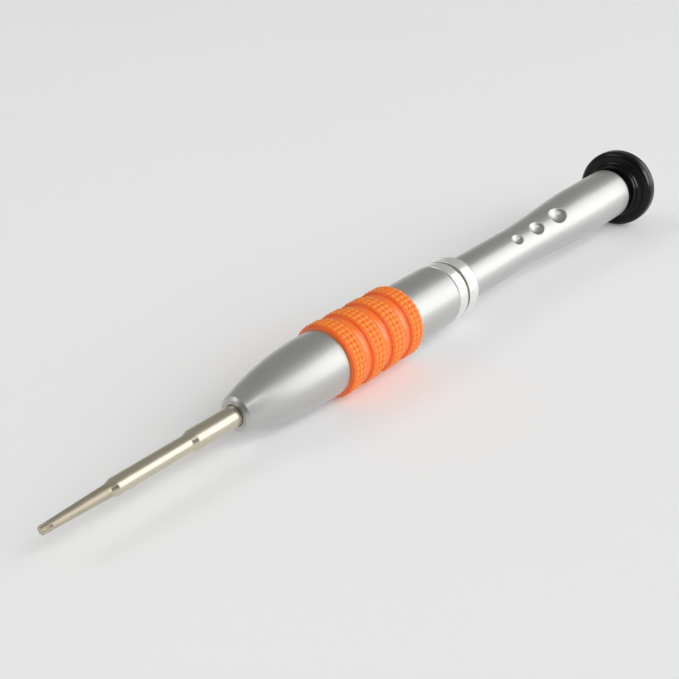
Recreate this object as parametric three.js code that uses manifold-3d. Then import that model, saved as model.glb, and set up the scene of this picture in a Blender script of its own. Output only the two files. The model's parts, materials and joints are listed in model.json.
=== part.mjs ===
// Precision screwdriver: stepped steel blade, two-piece aluminium handle, soft beaded grip and swivel cap.
// Millimetres, +Z up. The tool lies on a table on its grip and its cap, with the drive tip towards -X.
// Lengths run along the tool's own axis, from the drive tip backwards.

import * as THREE from 'three';
import { mergeVertices } from 'three/addons/utils/BufferGeometryUtils.js';
import Module from 'manifold-3d';

const wasm = await Module();
wasm.setup();

// Blade
const DRIVE_DIAMETER = 1.16;
const DRIVE_LENGTH = 1.4;
const DRIVE_LOBES = 6;
const FLUTE_DIAMETER = 0.38;
const FLUTE_DEPTH = 0.17;
const POINT_LENGTH = 9.6;
const POINT_BASE_DIAMETER = 1.78;
const POINT_STEP_LENGTH = 0.9;
const NECK_LENGTH = 11.8;
const NECK_DIAMETER = 2.4;
const SHANK_STEP_LENGTH = 0.9;
const SHANK_LENGTH = 7.6;
const SHANK_DIAMETER = 3.0;
const TANG_LENGTH = 22.0;
const TANG_CHAMFER = 0.3;
const TANG_FLAT_LENGTH = 8.0;
const TANG_ACROSS_FLATS = 2.3;

// Sleeve that holds the tang inside the front barrel
const TANG_SLEEVE_DIAMETER = 5.0;
const TANG_SLEEVE_LENGTH = 15.6;

// Front barrel with its bullet nose
const NOSE_LENGTH = 16.2;
const NOSE_END_DIAMETER = 5.2;
const NOSE_CHAMFER = 0.4;
const NOSE_BORE_LENGTH = 7.0;
const BARREL_DIAMETER = 10.0;
const BARREL_TAIL_LENGTH = 11.3;
const BARREL_EDGE_RADIUS = 0.45;

// Soft grip sleeve in its recess on the front barrel
const GRIP_SETBACK = 2.1;
const GRIP_RECESS_DEPTH = 0.6;
const GRIP_VALLEY_HEIGHT = 0.1;
const GRIP_RIDGE_HEIGHT = 0.5;
const BEAD_HEIGHT = 0.23;
const RIDGE_COUNT = 4;
const RIDGE_WIDTH = 2.85;
const VALLEY_WIDTH = 1.88;
const BEAD_ROWS = 3;
const BEADS_AROUND = 40;

// Collar ring and the threaded stud that draws both barrels against it
const COLLAR_DIAMETER = 9.8;
const COLLAR_LENGTH = 6.5;
const COLLAR_EDGE = 0.2;
const COLLAR_GROOVE_START = 2.2;
const COLLAR_GROOVE_WIDTH = 0.6;
const COLLAR_GROOVE_DEPTH = 0.4;
const COLLAR_BEVEL_LENGTH = 1.4;
const COLLAR_BEVEL_DEPTH = 0.75;
const STUD_DIAMETER = 5.2;
const STUD_FRONT_DEPTH = 11.0;
const STUD_REAR_DEPTH = 10.0;
const STUD_CHAMFER = 0.4;

// Rear barrel with its slim waist, flare and finger dimples
const WAIST_DIAMETER = 7.5;
const WAIST_LENGTH = 17.1;
const FLARE_LENGTH = 26.0;
const HANDLE_END_DIAMETER = 9.75;
const HANDLE_END_LENGTH = 12.4;
const HANDLE_END_RADIUS = 1.1;
const DIMPLE_DIAMETERS = [2.2, 2.95, 3.7];
const DIMPLE_SPACINGS = [15.8, 6.5, 7.15];
const DIMPLE_DEPTH_RATIO = 0.24;
const DIMPLE_LEAN = 32.5;

// Swivel: bush pressed into the handle, shouldered stem, washers and snap ring
const BUSH_DIAMETER = 6.0;
const BUSH_LENGTH = 8.0;
const BUSH_FLANGE_DIAMETER = 7.6;
const BUSH_FLANGE_THICKNESS = 0.6;
const STEM_DIAMETER = 3.0;
const STEM_TAIL_LENGTH = 0.8;
const STEM_GROOVE_DEPTH = 0.35;
const STEM_HEAD_DIAMETER = 5.2;
const STEM_HEAD_THICKNESS = 0.7;
const CLIP_DIAMETER = 4.8;
const CLIP_THICKNESS = 0.5;
const CLIP_OPENING = 70;
const STEM_WASHER_DIAMETER = 5.0;
const STEM_WASHER_THICKNESS = 0.4;
const THRUST_WASHER_DIAMETER = 6.8;
const THRUST_WASHER_THICKNESS = 0.4;
const BORE_END_ROOM = 1.0;

// Swivel cap with its end plug
const CAP_DIAMETER = 15.2;
const CAP_HUB_DIAMETER = 10.4;
const CAP_HUB_LENGTH = 0.8;
const CAP_HUB_EDGE_RADIUS = 0.4;
const CAP_COVE_LENGTH = 0.6;
const CAP_COVE_DIAMETER = 12.0;
const CAP_FRONT_RADIUS = 1.2;
const CAP_END_RADIUS = 1.2;
const CAP_RIM_LENGTH = 3.3;
const PLUG_DIAMETER = 8.4;
const PLUG_THICKNESS = 0.8;

// Clearances
const FIT_GAP = 0.05;
const SEAT_GAP = 0.05;
const RUNNING_GAP = 0.06;
const END_PLAY = 0.1;

// Facets of large and small rounds, and of the cap, whose wide facets let the tool lie still
const ROUND_SEGMENTS = 40;
const SMALL_SEGMENTS = 24;
const CAP_SEGMENTS = 24;
const ARC_STEPS = 3;
const CURVE_STEPS = 8;
const CLIP_STEPS = 12;

// Stations along the axis, from the drive tip
const neckStart = POINT_LENGTH + POINT_STEP_LENGTH;
const neckEnd = neckStart + NECK_LENGTH;
const shankStart = neckEnd + SHANK_STEP_LENGTH;
const noseFront = shankStart + SHANK_LENGTH;
const noseRear = noseFront + NOSE_LENGTH;
const tangEnd = noseFront + TANG_LENGTH;
const tangFlatStart = tangEnd - TANG_FLAT_LENGTH;
const noseShoulder = noseFront + NOSE_BORE_LENGTH;
const sleeveFront = noseShoulder + SEAT_GAP;
const sleeveRear = sleeveFront + TANG_SLEEVE_LENGTH;
const ridgePitch = RIDGE_WIDTH + VALLEY_WIDTH;
const gripFront = noseRear + GRIP_SETBACK;
const gripRear = gripFront + RIDGE_COUNT * ridgePitch - VALLEY_WIDTH;
const barrelRear = gripRear + BARREL_TAIL_LENGTH;
const collarFront = barrelRear + SEAT_GAP;
const collarRear = collarFront + COLLAR_LENGTH;
const waistFront = collarRear + SEAT_GAP;
const flareFront = waistFront + WAIST_LENGTH;
const flareRear = flareFront + FLARE_LENGTH;
const handleEnd = flareRear + HANDLE_END_LENGTH;
const studFront = barrelRear - STUD_FRONT_DEPTH;
const studRear = waistFront + STUD_REAR_DEPTH;
const flangeFront = handleEnd + SEAT_GAP;
const flangeRear = flangeFront + BUSH_FLANGE_THICKNESS;
const bushFront = flangeFront - BUSH_LENGTH;
const stemWasherRear = bushFront - END_PLAY;
const stemWasherFront = stemWasherRear - STEM_WASHER_THICKNESS;
const clipRear = stemWasherFront - SEAT_GAP;
const clipFront = clipRear - CLIP_THICKNESS;
const stemFront = clipFront - SEAT_GAP - STEM_TAIL_LENGTH;
const boreEnd = stemFront - BORE_END_ROOM;
const thrustFront = flangeRear + END_PLAY;
const thrustRear = thrustFront + THRUST_WASHER_THICKNESS;
const capFront = thrustRear + END_PLAY;
const capFace = capFront + CAP_HUB_LENGTH + CAP_COVE_LENGTH;
const capEnd = capFace + CAP_RIM_LENGTH;
const plugFront = capEnd - PLUG_THICKNESS;
const plugSeat = plugFront - SEAT_GAP;
const headRear = plugSeat - SEAT_GAP;
const headFront = headRear - STEM_HEAD_THICKNESS;
const headSeat = headFront - SEAT_GAP;

// Radii that more than one piece shares
const barrelRadius = BARREL_DIAMETER / 2;
const shankRadius = SHANK_DIAMETER / 2;
const stemRadius = STEM_DIAMETER / 2;
const recessRadius = barrelRadius - GRIP_RECESS_DEPTH;
const ridgeRadius = barrelRadius + GRIP_RIDGE_HEIGHT;
const beadRadius = ridgeRadius + BEAD_HEIGHT;
const valleyRadius = barrelRadius + GRIP_VALLEY_HEIGHT;
const capRadius = CAP_DIAMETER / 2;

// Solid of revolution about the tool's axis. The profile is a list of [station, radius] points that runs
// along the outside from front to rear; one that starts off the axis returns through its bore and is closed.
function revolve(profile, segments) {
  const points = profile.map(([station, radius]) => new THREE.Vector2(radius, station));
  if (points[0].x > 0) {
    points.push(points[0].clone());
  }
  const halfFacet = Math.PI / segments;
  return new THREE.LatheGeometry(points, segments, halfFacet).rotateZ(-Math.PI / 2);
}

// Points on a circular arc in the profile plane. Zero degrees points backwards and 90 outwards.
function arc(station, radius, size, fromDegrees, toDegrees, steps = ARC_STEPS) {
  return Array.from({ length: steps + 1 }, (_, step) => {
    const angle = THREE.MathUtils.degToRad(fromDegrees + ((toDegrees - fromDegrees) * step) / steps);
    return [station + size * Math.cos(angle), radius + size * Math.sin(angle)];
  });
}

// Plain round bar, or a washer where it has a bore
function disc(front, rear, radius, boreRadius, segments) {
  if (boreRadius === 0) {
    return revolve([[front, 0], [front, radius], [rear, radius], [rear, 0]], segments);
  }
  return revolve([[front, boreRadius], [front, radius], [rear, radius], [rear, boreRadius]], segments);
}

// Closed geometry to a solid for cutting
function toSolid(geometry) {
  const bare = geometry.clone();
  bare.deleteAttribute('normal');
  bare.deleteAttribute('uv');
  const merged = mergeVertices(bare, 1e-4);
  const index = merged.index.array;
  const triangles = [];
  for (let i = 0; i < index.length; i += 3) {
    const [a, b, c] = index.slice(i, i + 3);
    if (a !== b && b !== c && c !== a) {
      triangles.push(a, b, c);
    }
  }
  const vertProperties = Float32Array.from(merged.attributes.position.array);
  const triVerts = Uint32Array.from(triangles);
  return new wasm.Manifold(new wasm.Mesh({ numProp: 3, vertProperties, triVerts }));
}

// Geometry with every tool cut away from it
function cut(geometry, tools) {
  const solid = tools.reduce((body, tool) => body.subtract(toSolid(tool)), toSolid(geometry));
  const mesh = solid.getMesh();
  const result = new THREE.BufferGeometry();
  result.setAttribute('position', new THREE.BufferAttribute(mesh.vertProperties, 3));
  result.setIndex(new THREE.BufferAttribute(mesh.triVerts, 1));
  result.computeVertexNormals();
  return result;
}

// Two blocks that leave the flats of the tang between them, eased away from it by a gap
function flatCutters(gap) {
  const length = TANG_FLAT_LENGTH + TANG_SLEEVE_LENGTH;
  const height = SHANK_DIAMETER;
  const lift = TANG_ACROSS_FLATS / 2 + gap + height / 2;
  const middle = tangFlatStart + gap + length / 2;
  const side = () => new THREE.BoxGeometry(length, 2 * SHANK_DIAMETER, height);
  return [side().translate(middle, 0, lift), side().translate(middle, 0, -lift)];
}

// Round cutters that leave the lobes of the drive tip
function fluteCutters() {
  const fluteRadius = FLUTE_DIAMETER / 2;
  const centre = DRIVE_DIAMETER / 2 - FLUTE_DEPTH + fluteRadius;
  const overrun = DRIVE_LENGTH;
  const cutter = () => new THREE.CylinderGeometry(fluteRadius, fluteRadius, DRIVE_LENGTH + overrun, 10);
  return Array.from({ length: DRIVE_LOBES }, (_, flute) => {
    const turn = (2 * Math.PI * flute) / DRIVE_LOBES;
    return cutter()
      .rotateZ(-Math.PI / 2)
      .translate((DRIVE_LENGTH - overrun) / 2, 0, centre)
      .rotateX(turn);
  });
}

function bladeGeometry() {
  const bar = revolve([
    [0, 0],
    [0, DRIVE_DIAMETER / 2],
    [POINT_LENGTH, POINT_BASE_DIAMETER / 2],
    [neckStart, NECK_DIAMETER / 2],
    [neckEnd, NECK_DIAMETER / 2],
    [shankStart, shankRadius],
    [tangEnd - TANG_CHAMFER, shankRadius],
    [tangEnd, shankRadius - TANG_CHAMFER],
    [tangEnd, 0],
  ], SMALL_SEGMENTS);
  return cut(bar, [...fluteCutters(), ...flatCutters(0)]);
}

// The sleeve's bore is round in front and has flats behind, so that the blade can't turn in it
function tangSleeveGeometry() {
  const sleeve = disc(sleeveFront, sleeveRear, TANG_SLEEVE_DIAMETER / 2, 0, SMALL_SEGMENTS);
  const overrun = TANG_CHAMFER;
  const bore = disc(sleeveFront - overrun, sleeveRear + overrun, shankRadius + FIT_GAP, 0, SMALL_SEGMENTS);
  return cut(sleeve, [cut(bore, flatCutters(FIT_GAP))]);
}

// Circular-arc ogive, tangent to the barrel, then the grip's recess, a plain tail and a stepped bore
function frontBarrelGeometry() {
  const endRadius = NOSE_END_DIAMETER / 2;
  const rise = barrelRadius - endRadius;
  const run = NOSE_LENGTH - NOSE_CHAMFER;
  const ogiveRadius = (run * run + rise * rise) / (2 * rise);
  const sweep = THREE.MathUtils.radToDeg(Math.asin(run / ogiveRadius));
  const ogive = arc(noseRear, barrelRadius - ogiveRadius, ogiveRadius, 90 + sweep, 90, CURVE_STEPS);
  const edge = BARREL_EDGE_RADIUS;
  const studBore = STUD_DIAMETER / 2 + FIT_GAP;
  const sleeveBore = TANG_SLEEVE_DIAMETER / 2 + FIT_GAP;
  const studBoreEnd = studFront - SEAT_GAP;
  return revolve([
    [noseFront, shankRadius + FIT_GAP],
    [noseFront, endRadius - NOSE_CHAMFER],
    ...ogive,
    [gripFront - SEAT_GAP, barrelRadius],
    [gripFront - SEAT_GAP, recessRadius],
    [gripRear + SEAT_GAP, recessRadius],
    [gripRear + SEAT_GAP, barrelRadius],
    ...arc(barrelRear - edge, barrelRadius - edge, edge, 90, 0),
    [barrelRear, studBore],
    [studBoreEnd, studBore],
    [studBoreEnd, sleeveBore],
    [noseShoulder, sleeveBore],
    [noseShoulder, shankRadius + FIT_GAP],
  ], ROUND_SEGMENTS);
}

// One ring of the sleeve's skin. Beads stand on every second point, so that the gaps lie between them.
function skinRing(station, gapRadius, peakRadius) {
  return Array.from({ length: 2 * BEADS_AROUND }, (_, point) => {
    const angle = (Math.PI * point) / BEADS_AROUND;
    const radius = point % 2 === 1 ? peakRadius : gapRadius;
    return [station, -radius * Math.sin(angle), radius * Math.cos(angle)];
  });
}

// Rings over one ridge: its edges and the lines between rows are plain, and each row's middle carries beads
function ridgeRings(start) {
  const rowPitch = RIDGE_WIDTH / BEAD_ROWS;
  const rings = [];
  for (let half = 0; half <= 2 * BEAD_ROWS; half += 1) {
    const peak = half % 2 === 1 ? beadRadius : ridgeRadius;
    rings.push(skinRing(start + (half * rowPitch) / 2, ridgeRadius, peak));
  }
  return rings;
}

// Rings through the hollow between two ridges, a cosine trough down to the valley floor
function valleyRings(start) {
  return [0.25, 0.5, 0.75].map((share) => {
    const drop = (1 - Math.cos(2 * Math.PI * share)) / 2;
    const radius = ridgeRadius - (ridgeRadius - valleyRadius) * drop;
    return skinRing(start + share * VALLEY_WIDTH, radius, radius);
  });
}

// Beaded ridges with smooth valleys between them, closed through the sleeve's bore
function gripSleeveGeometry() {
  const rings = [];
  for (let ridge = 0; ridge < RIDGE_COUNT; ridge += 1) {
    const start = gripFront + ridge * ridgePitch;
    rings.push(...ridgeRings(start));
    if (ridge < RIDGE_COUNT - 1) {
      rings.push(...valleyRings(start + RIDGE_WIDTH));
    }
  }
  const boreRadius = recessRadius + FIT_GAP;
  rings.push(skinRing(gripRear, boreRadius, boreRadius));
  rings.push(skinRing(gripFront, boreRadius, boreRadius));
  const around = 2 * BEADS_AROUND;
  const index = [];
  rings.forEach((_, row) => {
    const here = row * around;
    const next = ((row + 1) % rings.length) * around;
    for (let point = 0; point < around; point += 1) {
      const beside = (point + 1) % around;
      index.push(here + point, next + beside, next + point);
      index.push(here + point, here + beside, next + beside);
    }
  });
  const geometry = new THREE.BufferGeometry();
  geometry.setAttribute('position', new THREE.Float32BufferAttribute(rings.flat(2), 3));
  geometry.setIndex(index);
  geometry.computeVertexNormals();
  return geometry;
}

// Two bright bands with a groove between them, and a bevel down to the waist
function collarRingGeometry() {
  const outer = COLLAR_DIAMETER / 2;
  const grooveFront = collarFront + COLLAR_GROOVE_START;
  const grooveRear = grooveFront + COLLAR_GROOVE_WIDTH;
  const floor = outer - COLLAR_GROOVE_DEPTH;
  return revolve([
    [collarFront, STUD_DIAMETER / 2 + FIT_GAP],
    [collarFront, outer - COLLAR_EDGE],
    [collarFront + COLLAR_EDGE, outer],
    [grooveFront, outer],
    [grooveFront, floor],
    [grooveRear, floor],
    [grooveRear, outer],
    [collarRear - COLLAR_BEVEL_LENGTH, outer],
    [collarRear, outer - COLLAR_BEVEL_DEPTH],
    [collarRear, STUD_DIAMETER / 2 + FIT_GAP],
  ], ROUND_SEGMENTS);
}

function jointStudGeometry() {
  const radius = STUD_DIAMETER / 2;
  return revolve([
    [studFront, 0],
    [studFront, radius - STUD_CHAMFER],
    [studFront + STUD_CHAMFER, radius],
    [studRear - STUD_CHAMFER, radius],
    [studRear, radius - STUD_CHAMFER],
    [studRear, 0],
  ], SMALL_SEGMENTS);
}

// Radius of the rear barrel's outside: a plain waist, then a smooth S up to the handle's end
function rearRadius(station) {
  const share = THREE.MathUtils.smoothstep(station, flareFront, flareRear);
  return THREE.MathUtils.lerp(WAIST_DIAMETER, HANDLE_END_DIAMETER, share) / 2;
}

// Balls that press the finger dimples into the side of the flare, each as wide as its dimple at the surface
function dimpleCutters() {
  let station = waistFront;
  return DIMPLE_DIAMETERS.map((diameter, place) => {
    station += DIMPLE_SPACINGS[place];
    const depth = DIMPLE_DEPTH_RATIO * diameter;
    const ballRadius = (diameter * diameter) / (8 * depth) + depth / 2;
    const lift = rearRadius(station) + ballRadius - depth;
    return new THREE.SphereGeometry(ballRadius, 20, 14)
      .translate(station, 0, lift)
      .rotateX(THREE.MathUtils.degToRad(DIMPLE_LEAN));
  });
}

function rearBarrelGeometry() {
  const studBore = STUD_DIAMETER / 2 + FIT_GAP;
  const bushBore = BUSH_DIAMETER / 2 + FIT_GAP;
  const edge = HANDLE_END_RADIUS;
  const flare = Array.from({ length: CURVE_STEPS + 1 }, (_, step) => {
    const station = flareFront + (FLARE_LENGTH * step) / CURVE_STEPS;
    return [station, rearRadius(station)];
  });
  const body = revolve([
    [studRear + SEAT_GAP, 0],
    [studRear + SEAT_GAP, studBore],
    [waistFront, studBore],
    [waistFront, WAIST_DIAMETER / 2],
    ...flare,
    ...arc(handleEnd - edge, HANDLE_END_DIAMETER / 2 - edge, edge, 90, 0),
    [handleEnd, bushBore],
    [boreEnd, bushBore],
    [boreEnd, 0],
  ], ROUND_SEGMENTS);
  return cut(body, dimpleCutters());
}

function capBushGeometry() {
  const bore = stemRadius + RUNNING_GAP;
  return revolve([
    [bushFront, bore],
    [bushFront, BUSH_DIAMETER / 2],
    [flangeFront, BUSH_DIAMETER / 2],
    [flangeFront, BUSH_FLANGE_DIAMETER / 2],
    [flangeRear, BUSH_FLANGE_DIAMETER / 2],
    [flangeRear, bore],
  ], SMALL_SEGMENTS);
}

// Shouldered stem: a snap-ring groove near its tail and a flat head in the cap
function pivotStemGeometry() {
  const groove = stemRadius - STEM_GROOVE_DEPTH;
  return revolve([
    [stemFront, 0],
    [stemFront, stemRadius],
    [clipFront - SEAT_GAP, stemRadius],
    [clipFront - SEAT_GAP, groove],
    [clipRear + SEAT_GAP, groove],
    [clipRear + SEAT_GAP, stemRadius],
    [headFront, stemRadius],
    [headFront, STEM_HEAD_DIAMETER / 2],
    [headRear, STEM_HEAD_DIAMETER / 2],
    [headRear, 0],
  ], SMALL_SEGMENTS);
}

// Open snap ring in the stem's groove
function stemClipGeometry() {
  const inner = stemRadius - STEM_GROOVE_DEPTH + FIT_GAP;
  const halfOpening = THREE.MathUtils.degToRad(CLIP_OPENING / 2);
  const shape = new THREE.Shape();
  shape.absarc(0, 0, CLIP_DIAMETER / 2, halfOpening, 2 * Math.PI - halfOpening, false);
  shape.absarc(0, 0, inner, 2 * Math.PI - halfOpening, halfOpening, true);
  shape.closePath();
  const options = { depth: CLIP_THICKNESS, bevelEnabled: false, curveSegments: CLIP_STEPS };
  return new THREE.ExtrudeGeometry(shape, options).rotateY(Math.PI / 2).translate(clipFront, 0, 0);
}

// Mushroom cap: short hub with a rounded edge, a hollow cove and a thick, well rounded rim
function swivelCapGeometry() {
  const bore = stemRadius + FIT_GAP;
  const headBore = STEM_HEAD_DIAMETER / 2 + FIT_GAP;
  const plugBore = PLUG_DIAMETER / 2 + FIT_GAP;
  const hub = CAP_HUB_DIAMETER / 2;
  const coveRim = CAP_COVE_DIAMETER / 2;
  const cove = Array.from({ length: ARC_STEPS + 1 }, (_, step) => {
    const angle = (Math.PI * step) / (2 * ARC_STEPS);
    const out = (coveRim - hub) * (1 - Math.cos(angle));
    return [capFront + CAP_HUB_LENGTH + CAP_COVE_LENGTH * Math.sin(angle), hub + out];
  });
  const hubEdge = CAP_HUB_EDGE_RADIUS;
  const frontRim = CAP_FRONT_RADIUS;
  const endRim = CAP_END_RADIUS;
  return revolve([
    [capFront, bore],
    ...arc(capFront + hubEdge, hub - hubEdge, hubEdge, 180, 90),
    ...cove,
    ...arc(capFace + frontRim, capRadius - frontRim, frontRim, 180, 90),
    ...arc(capEnd - endRim, capRadius - endRim, endRim, 90, 0),
    [capEnd, plugBore],
    [plugSeat, plugBore],
    [plugSeat, headBore],
    [headSeat, headBore],
    [headSeat, bore],
  ], CAP_SEGMENTS);
}

function stemWasherGeometry() {
  const bore = stemRadius + FIT_GAP;
  return disc(stemWasherFront, stemWasherRear, STEM_WASHER_DIAMETER / 2, bore, SMALL_SEGMENTS);
}

function thrustWasherGeometry() {
  const bore = stemRadius + RUNNING_GAP;
  return disc(thrustFront, thrustRear, THRUST_WASHER_DIAMETER / 2, bore, SMALL_SEGMENTS);
}

function capPlugGeometry() {
  return disc(plugFront, capEnd, PLUG_DIAMETER / 2, 0, CAP_SEGMENTS);
}

function piece(name, geometry, color, roughness, metalness) {
  const material = new THREE.MeshStandardMaterial({ color, roughness, metalness });
  const mesh = new THREE.Mesh(geometry, material);
  mesh.name = name;
  return mesh;
}

const SATIN_ALUMINIUM = 0xb9bbba;
const NICKEL_STEEL = 0xb6aa98;
const BRIGHT_PLATE = 0xd9d8d2;
const SOFT_ORANGE = 0xf2803f;
const BLACK_PLASTIC = 0x121214;
const BRASS = 0xb8923f;
const ZINC_STEEL = 0x9da1a4;
const WHITE_NYLON = 0xe4e0d6;

const handle = new THREE.Group();
handle.add(
  piece('blade', bladeGeometry(), NICKEL_STEEL, 0.25, 1),
  piece('tang_sleeve', tangSleeveGeometry(), BRASS, 0.4, 1),
  piece('front_barrel', frontBarrelGeometry(), SATIN_ALUMINIUM, 0.35, 1),
  piece('grip_sleeve', gripSleeveGeometry(), SOFT_ORANGE, 0.6, 0),
  piece('collar_ring', collarRingGeometry(), BRIGHT_PLATE, 0.15, 1),
  piece('joint_stud', jointStudGeometry(), ZINC_STEEL, 0.4, 1),
  piece('rear_barrel', rearBarrelGeometry(), SATIN_ALUMINIUM, 0.35, 1),
  piece('cap_bush', capBushGeometry(), BRASS, 0.4, 1),
  piece('thrust_washer', thrustWasherGeometry(), WHITE_NYLON, 0.5, 0),
);

const swivel = new THREE.Group();
swivel.add(
  piece('swivel_cap', swivelCapGeometry(), BLACK_PLASTIC, 0.2, 0),
  piece('cap_plug', capPlugGeometry(), BLACK_PLASTIC, 0.35, 0),
  piece('pivot_stem', pivotStemGeometry(), ZINC_STEEL, 0.3, 1),
  piece('stem_washer', stemWasherGeometry(), ZINC_STEEL, 0.4, 1),
  piece('stem_clip', stemClipGeometry(), ZINC_STEEL, 0.4, 1),
);

// At rest the first row of beads and the front of the cap's rim both lie on the table with the middle of a
// facet, so the axis rises towards the cap. The table is Z = 0 and the tool is centred over the origin.
const firstBeadRow = gripFront + RIDGE_WIDTH / BEAD_ROWS / 2;
const capContact = capFace + CAP_FRONT_RADIUS;
const beadReach = beadRadius * Math.cos(Math.PI / BEADS_AROUND);
const capReach = capRadius * Math.cos(Math.PI / CAP_SEGMENTS);
const screwdriver = new THREE.Group();
screwdriver.add(handle, swivel);
screwdriver.rotation.y = -Math.atan((capReach - beadReach) / (capContact - firstBeadRow));
const lying = new THREE.Box3().setFromObject(screwdriver, true);
const middle = lying.getCenter(new THREE.Vector3());
screwdriver.position.set(-middle.x, -middle.y, -lying.min.z);

export default screwdriver;
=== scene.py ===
"""Looks of a precision screwdriver: nickel blade, satin aluminium handle, beaded soft grip, swivel cap.

Metres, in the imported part's frame. Stations run along the tool's own axis, from the drive tip backwards.
Every piece but the snap ring is a surface of two parameters, a place along an outline and an angle round
the axis: point = tip + station * axis + radius * (cos(angle) * up + sin(angle) * near).
"""

import json
import math
from collections import namedtuple

import bpy
import numpy as np
from mathutils import Matrix


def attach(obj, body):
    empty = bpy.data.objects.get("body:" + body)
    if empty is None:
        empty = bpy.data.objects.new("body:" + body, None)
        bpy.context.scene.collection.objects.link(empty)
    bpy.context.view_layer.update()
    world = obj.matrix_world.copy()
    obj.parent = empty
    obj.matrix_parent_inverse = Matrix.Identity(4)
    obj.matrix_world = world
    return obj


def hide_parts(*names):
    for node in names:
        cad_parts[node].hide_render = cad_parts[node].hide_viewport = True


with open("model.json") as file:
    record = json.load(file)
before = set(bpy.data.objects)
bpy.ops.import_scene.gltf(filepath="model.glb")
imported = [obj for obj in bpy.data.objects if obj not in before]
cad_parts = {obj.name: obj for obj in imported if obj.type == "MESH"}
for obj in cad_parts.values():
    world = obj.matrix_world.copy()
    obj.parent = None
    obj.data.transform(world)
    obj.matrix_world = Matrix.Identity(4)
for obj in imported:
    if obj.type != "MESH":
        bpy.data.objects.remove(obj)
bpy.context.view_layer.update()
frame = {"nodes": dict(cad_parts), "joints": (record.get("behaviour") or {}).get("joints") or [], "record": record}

MM = 0.001

# Blade
DRIVE_RADIUS = 0.58 * MM
DRIVE_LENGTH = 1.4 * MM
DRIVE_LOBES = 6
DRIVE_EDGE = 0.06 * MM
FLUTE_RADIUS = 0.19 * MM
FLUTE_DEPTH = 0.17 * MM
FLUTE_RUN_OUT = 0.5 * MM
FLUTE_LIP = 0.02 * MM
POINT_LENGTH = 9.6 * MM
POINT_BASE_RADIUS = 0.89 * MM
POINT_STEP_LENGTH = 0.9 * MM
NECK_LENGTH = 11.8 * MM
NECK_RADIUS = 1.2 * MM
SHANK_STEP_LENGTH = 0.9 * MM
BLADE_FILLET = 0.3 * MM
TANG_FLAT_LENGTH = 8.0 * MM
TANG_FLAT_HALF = 1.15 * MM
TANG_CHAMFER = 0.3 * MM
GRINDING_FADE = 0.4 * MM

# Front barrel
NOSE_LENGTH = 16.2 * MM
NOSE_END_RADIUS = 2.6 * MM
NOSE_CHAMFER = 0.4 * MM
NOSE_BORE_LENGTH = 7.0 * MM
GRIP_RECESS_DEPTH = 0.6 * MM
BARREL_EDGE_RADIUS = 0.45 * MM

# Grip sleeve
RIDGE_COUNT = 4
RIDGE_WIDTH = 2.85 * MM
RIDGE_HEIGHT = 0.5 * MM
VALLEY_HEIGHT = 0.1 * MM
VALLEY_FLATNESS = 3.0
BEAD_ROWS = 3
BEADS_AROUND = 40
BEAD_ROUNDNESS = 2.0
BEAD_LIP = 0.1 * MM
FRONT_LIP = 0.42 * MM
PIT_DEPTH = 0.12 * MM
GRIP_EDGE = 0.14 * MM
VALLEY_FADE = 0.1 * MM

# Collar ring
COLLAR_GROOVE_START = 2.2 * MM
COLLAR_GROOVE_WIDTH = 0.6 * MM
COLLAR_GROOVE_DEPTH = 0.4 * MM
# Heights over the groove's floor at which the groove's rougher finish and painted shade give way to the bright
# plating
COLLAR_DULL_AND_SHADE_HEIGHT = 0.05 * MM
COLLAR_BRIGHT_HEIGHT = 0.3 * MM
COLLAR_BEVEL_LENGTH = 1.4 * MM
COLLAR_BEVEL_DEPTH = 0.75 * MM

# Joint stud
THREAD_PITCH = 0.8 * MM
THREAD_DEPTH = 0.42 * MM
STUD_CHAMFER = 0.4 * MM

# Rear barrel
WAIST_RADIUS = 3.75 * MM
WAIST_LENGTH = 17.1 * MM
FLARE_LENGTH = 26.0 * MM
HANDLE_END_RADIUS = 1.1 * MM
DIMPLE_DIAMETERS = (2.2 * MM, 2.95 * MM, 3.7 * MM)
DIMPLE_STATIONS = (15.8 * MM, 22.3 * MM, 29.45 * MM)
DIMPLE_DEPTH_RATIO = 0.24
DIMPLE_STRETCH = 1.24
DIMPLE_LEAN = math.radians(32.5)
DIMPLE_LIP = 0.07 * MM
DIMPLE_FIELD = math.radians(30)
DIMPLE_FINISH_FADE = 0.5 * MM
DIMPLE_FINISH_START = 0.03 * MM
DIMPLE_FINISH_FULL = 0.15 * MM

# Swivel cap and its stem
CAP_HUB_RADIUS = 5.2 * MM
CAP_HUB_LENGTH = 0.8 * MM
CAP_HUB_EDGE_RADIUS = 0.4 * MM
CAP_COVE_LENGTH = 0.6 * MM
CAP_COVE_RADIUS = 6.0 * MM
CAP_FRONT_RADIUS = 1.2 * MM
CAP_END_RADIUS = 1.2 * MM
BUSH_RADIUS = 3.0 * MM
BUSH_BORE_SPARE = 1.0 * MM
STEM_RADIUS = 1.5 * MM
STEM_GROOVE_DEPTH = 0.35 * MM
STEM_HEAD_THICKNESS = 0.7 * MM

# Clearances and small edges
FIT_GAP = 0.05 * MM
SEAT_GAP = 0.05 * MM
RUNNING_GAP = 0.06 * MM
FINE_EDGE = 0.06 * MM
RADIUS_TOLERANCE = 0.001 * MM

# Fineness of the surfaces
ARC_STEP = math.radians(12)
HOLD = 0.03 * MM
COLUMNS = 160
FINE_COLUMNS = 96
BEAD_STEPS = 10
ROW_STEPS = 12
VALLEY_STEPS = 16
COVE_STEPS = 12
CURVE_PITCH = 0.5 * MM
DIMPLE_PITCH = 0.07 * MM
FLUTE_PITCH = 0.06 * MM
THREAD_STEPS = 10
DIMPLE_COLUMNS = 101
PLAIN_COLUMNS = 110
LEAST_COSINE = 0.1

# The solids' box ends at the middle of a facet of the cap and of the beads. The smooth cap and beads keep
# to that reach, so that they stay inside the box and just touch the table.
CAP_FACETS = 24
CAP_REACH = math.cos(math.pi / CAP_FACETS)
BEAD_REACH = math.cos(math.pi / BEADS_AROUND)

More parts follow.
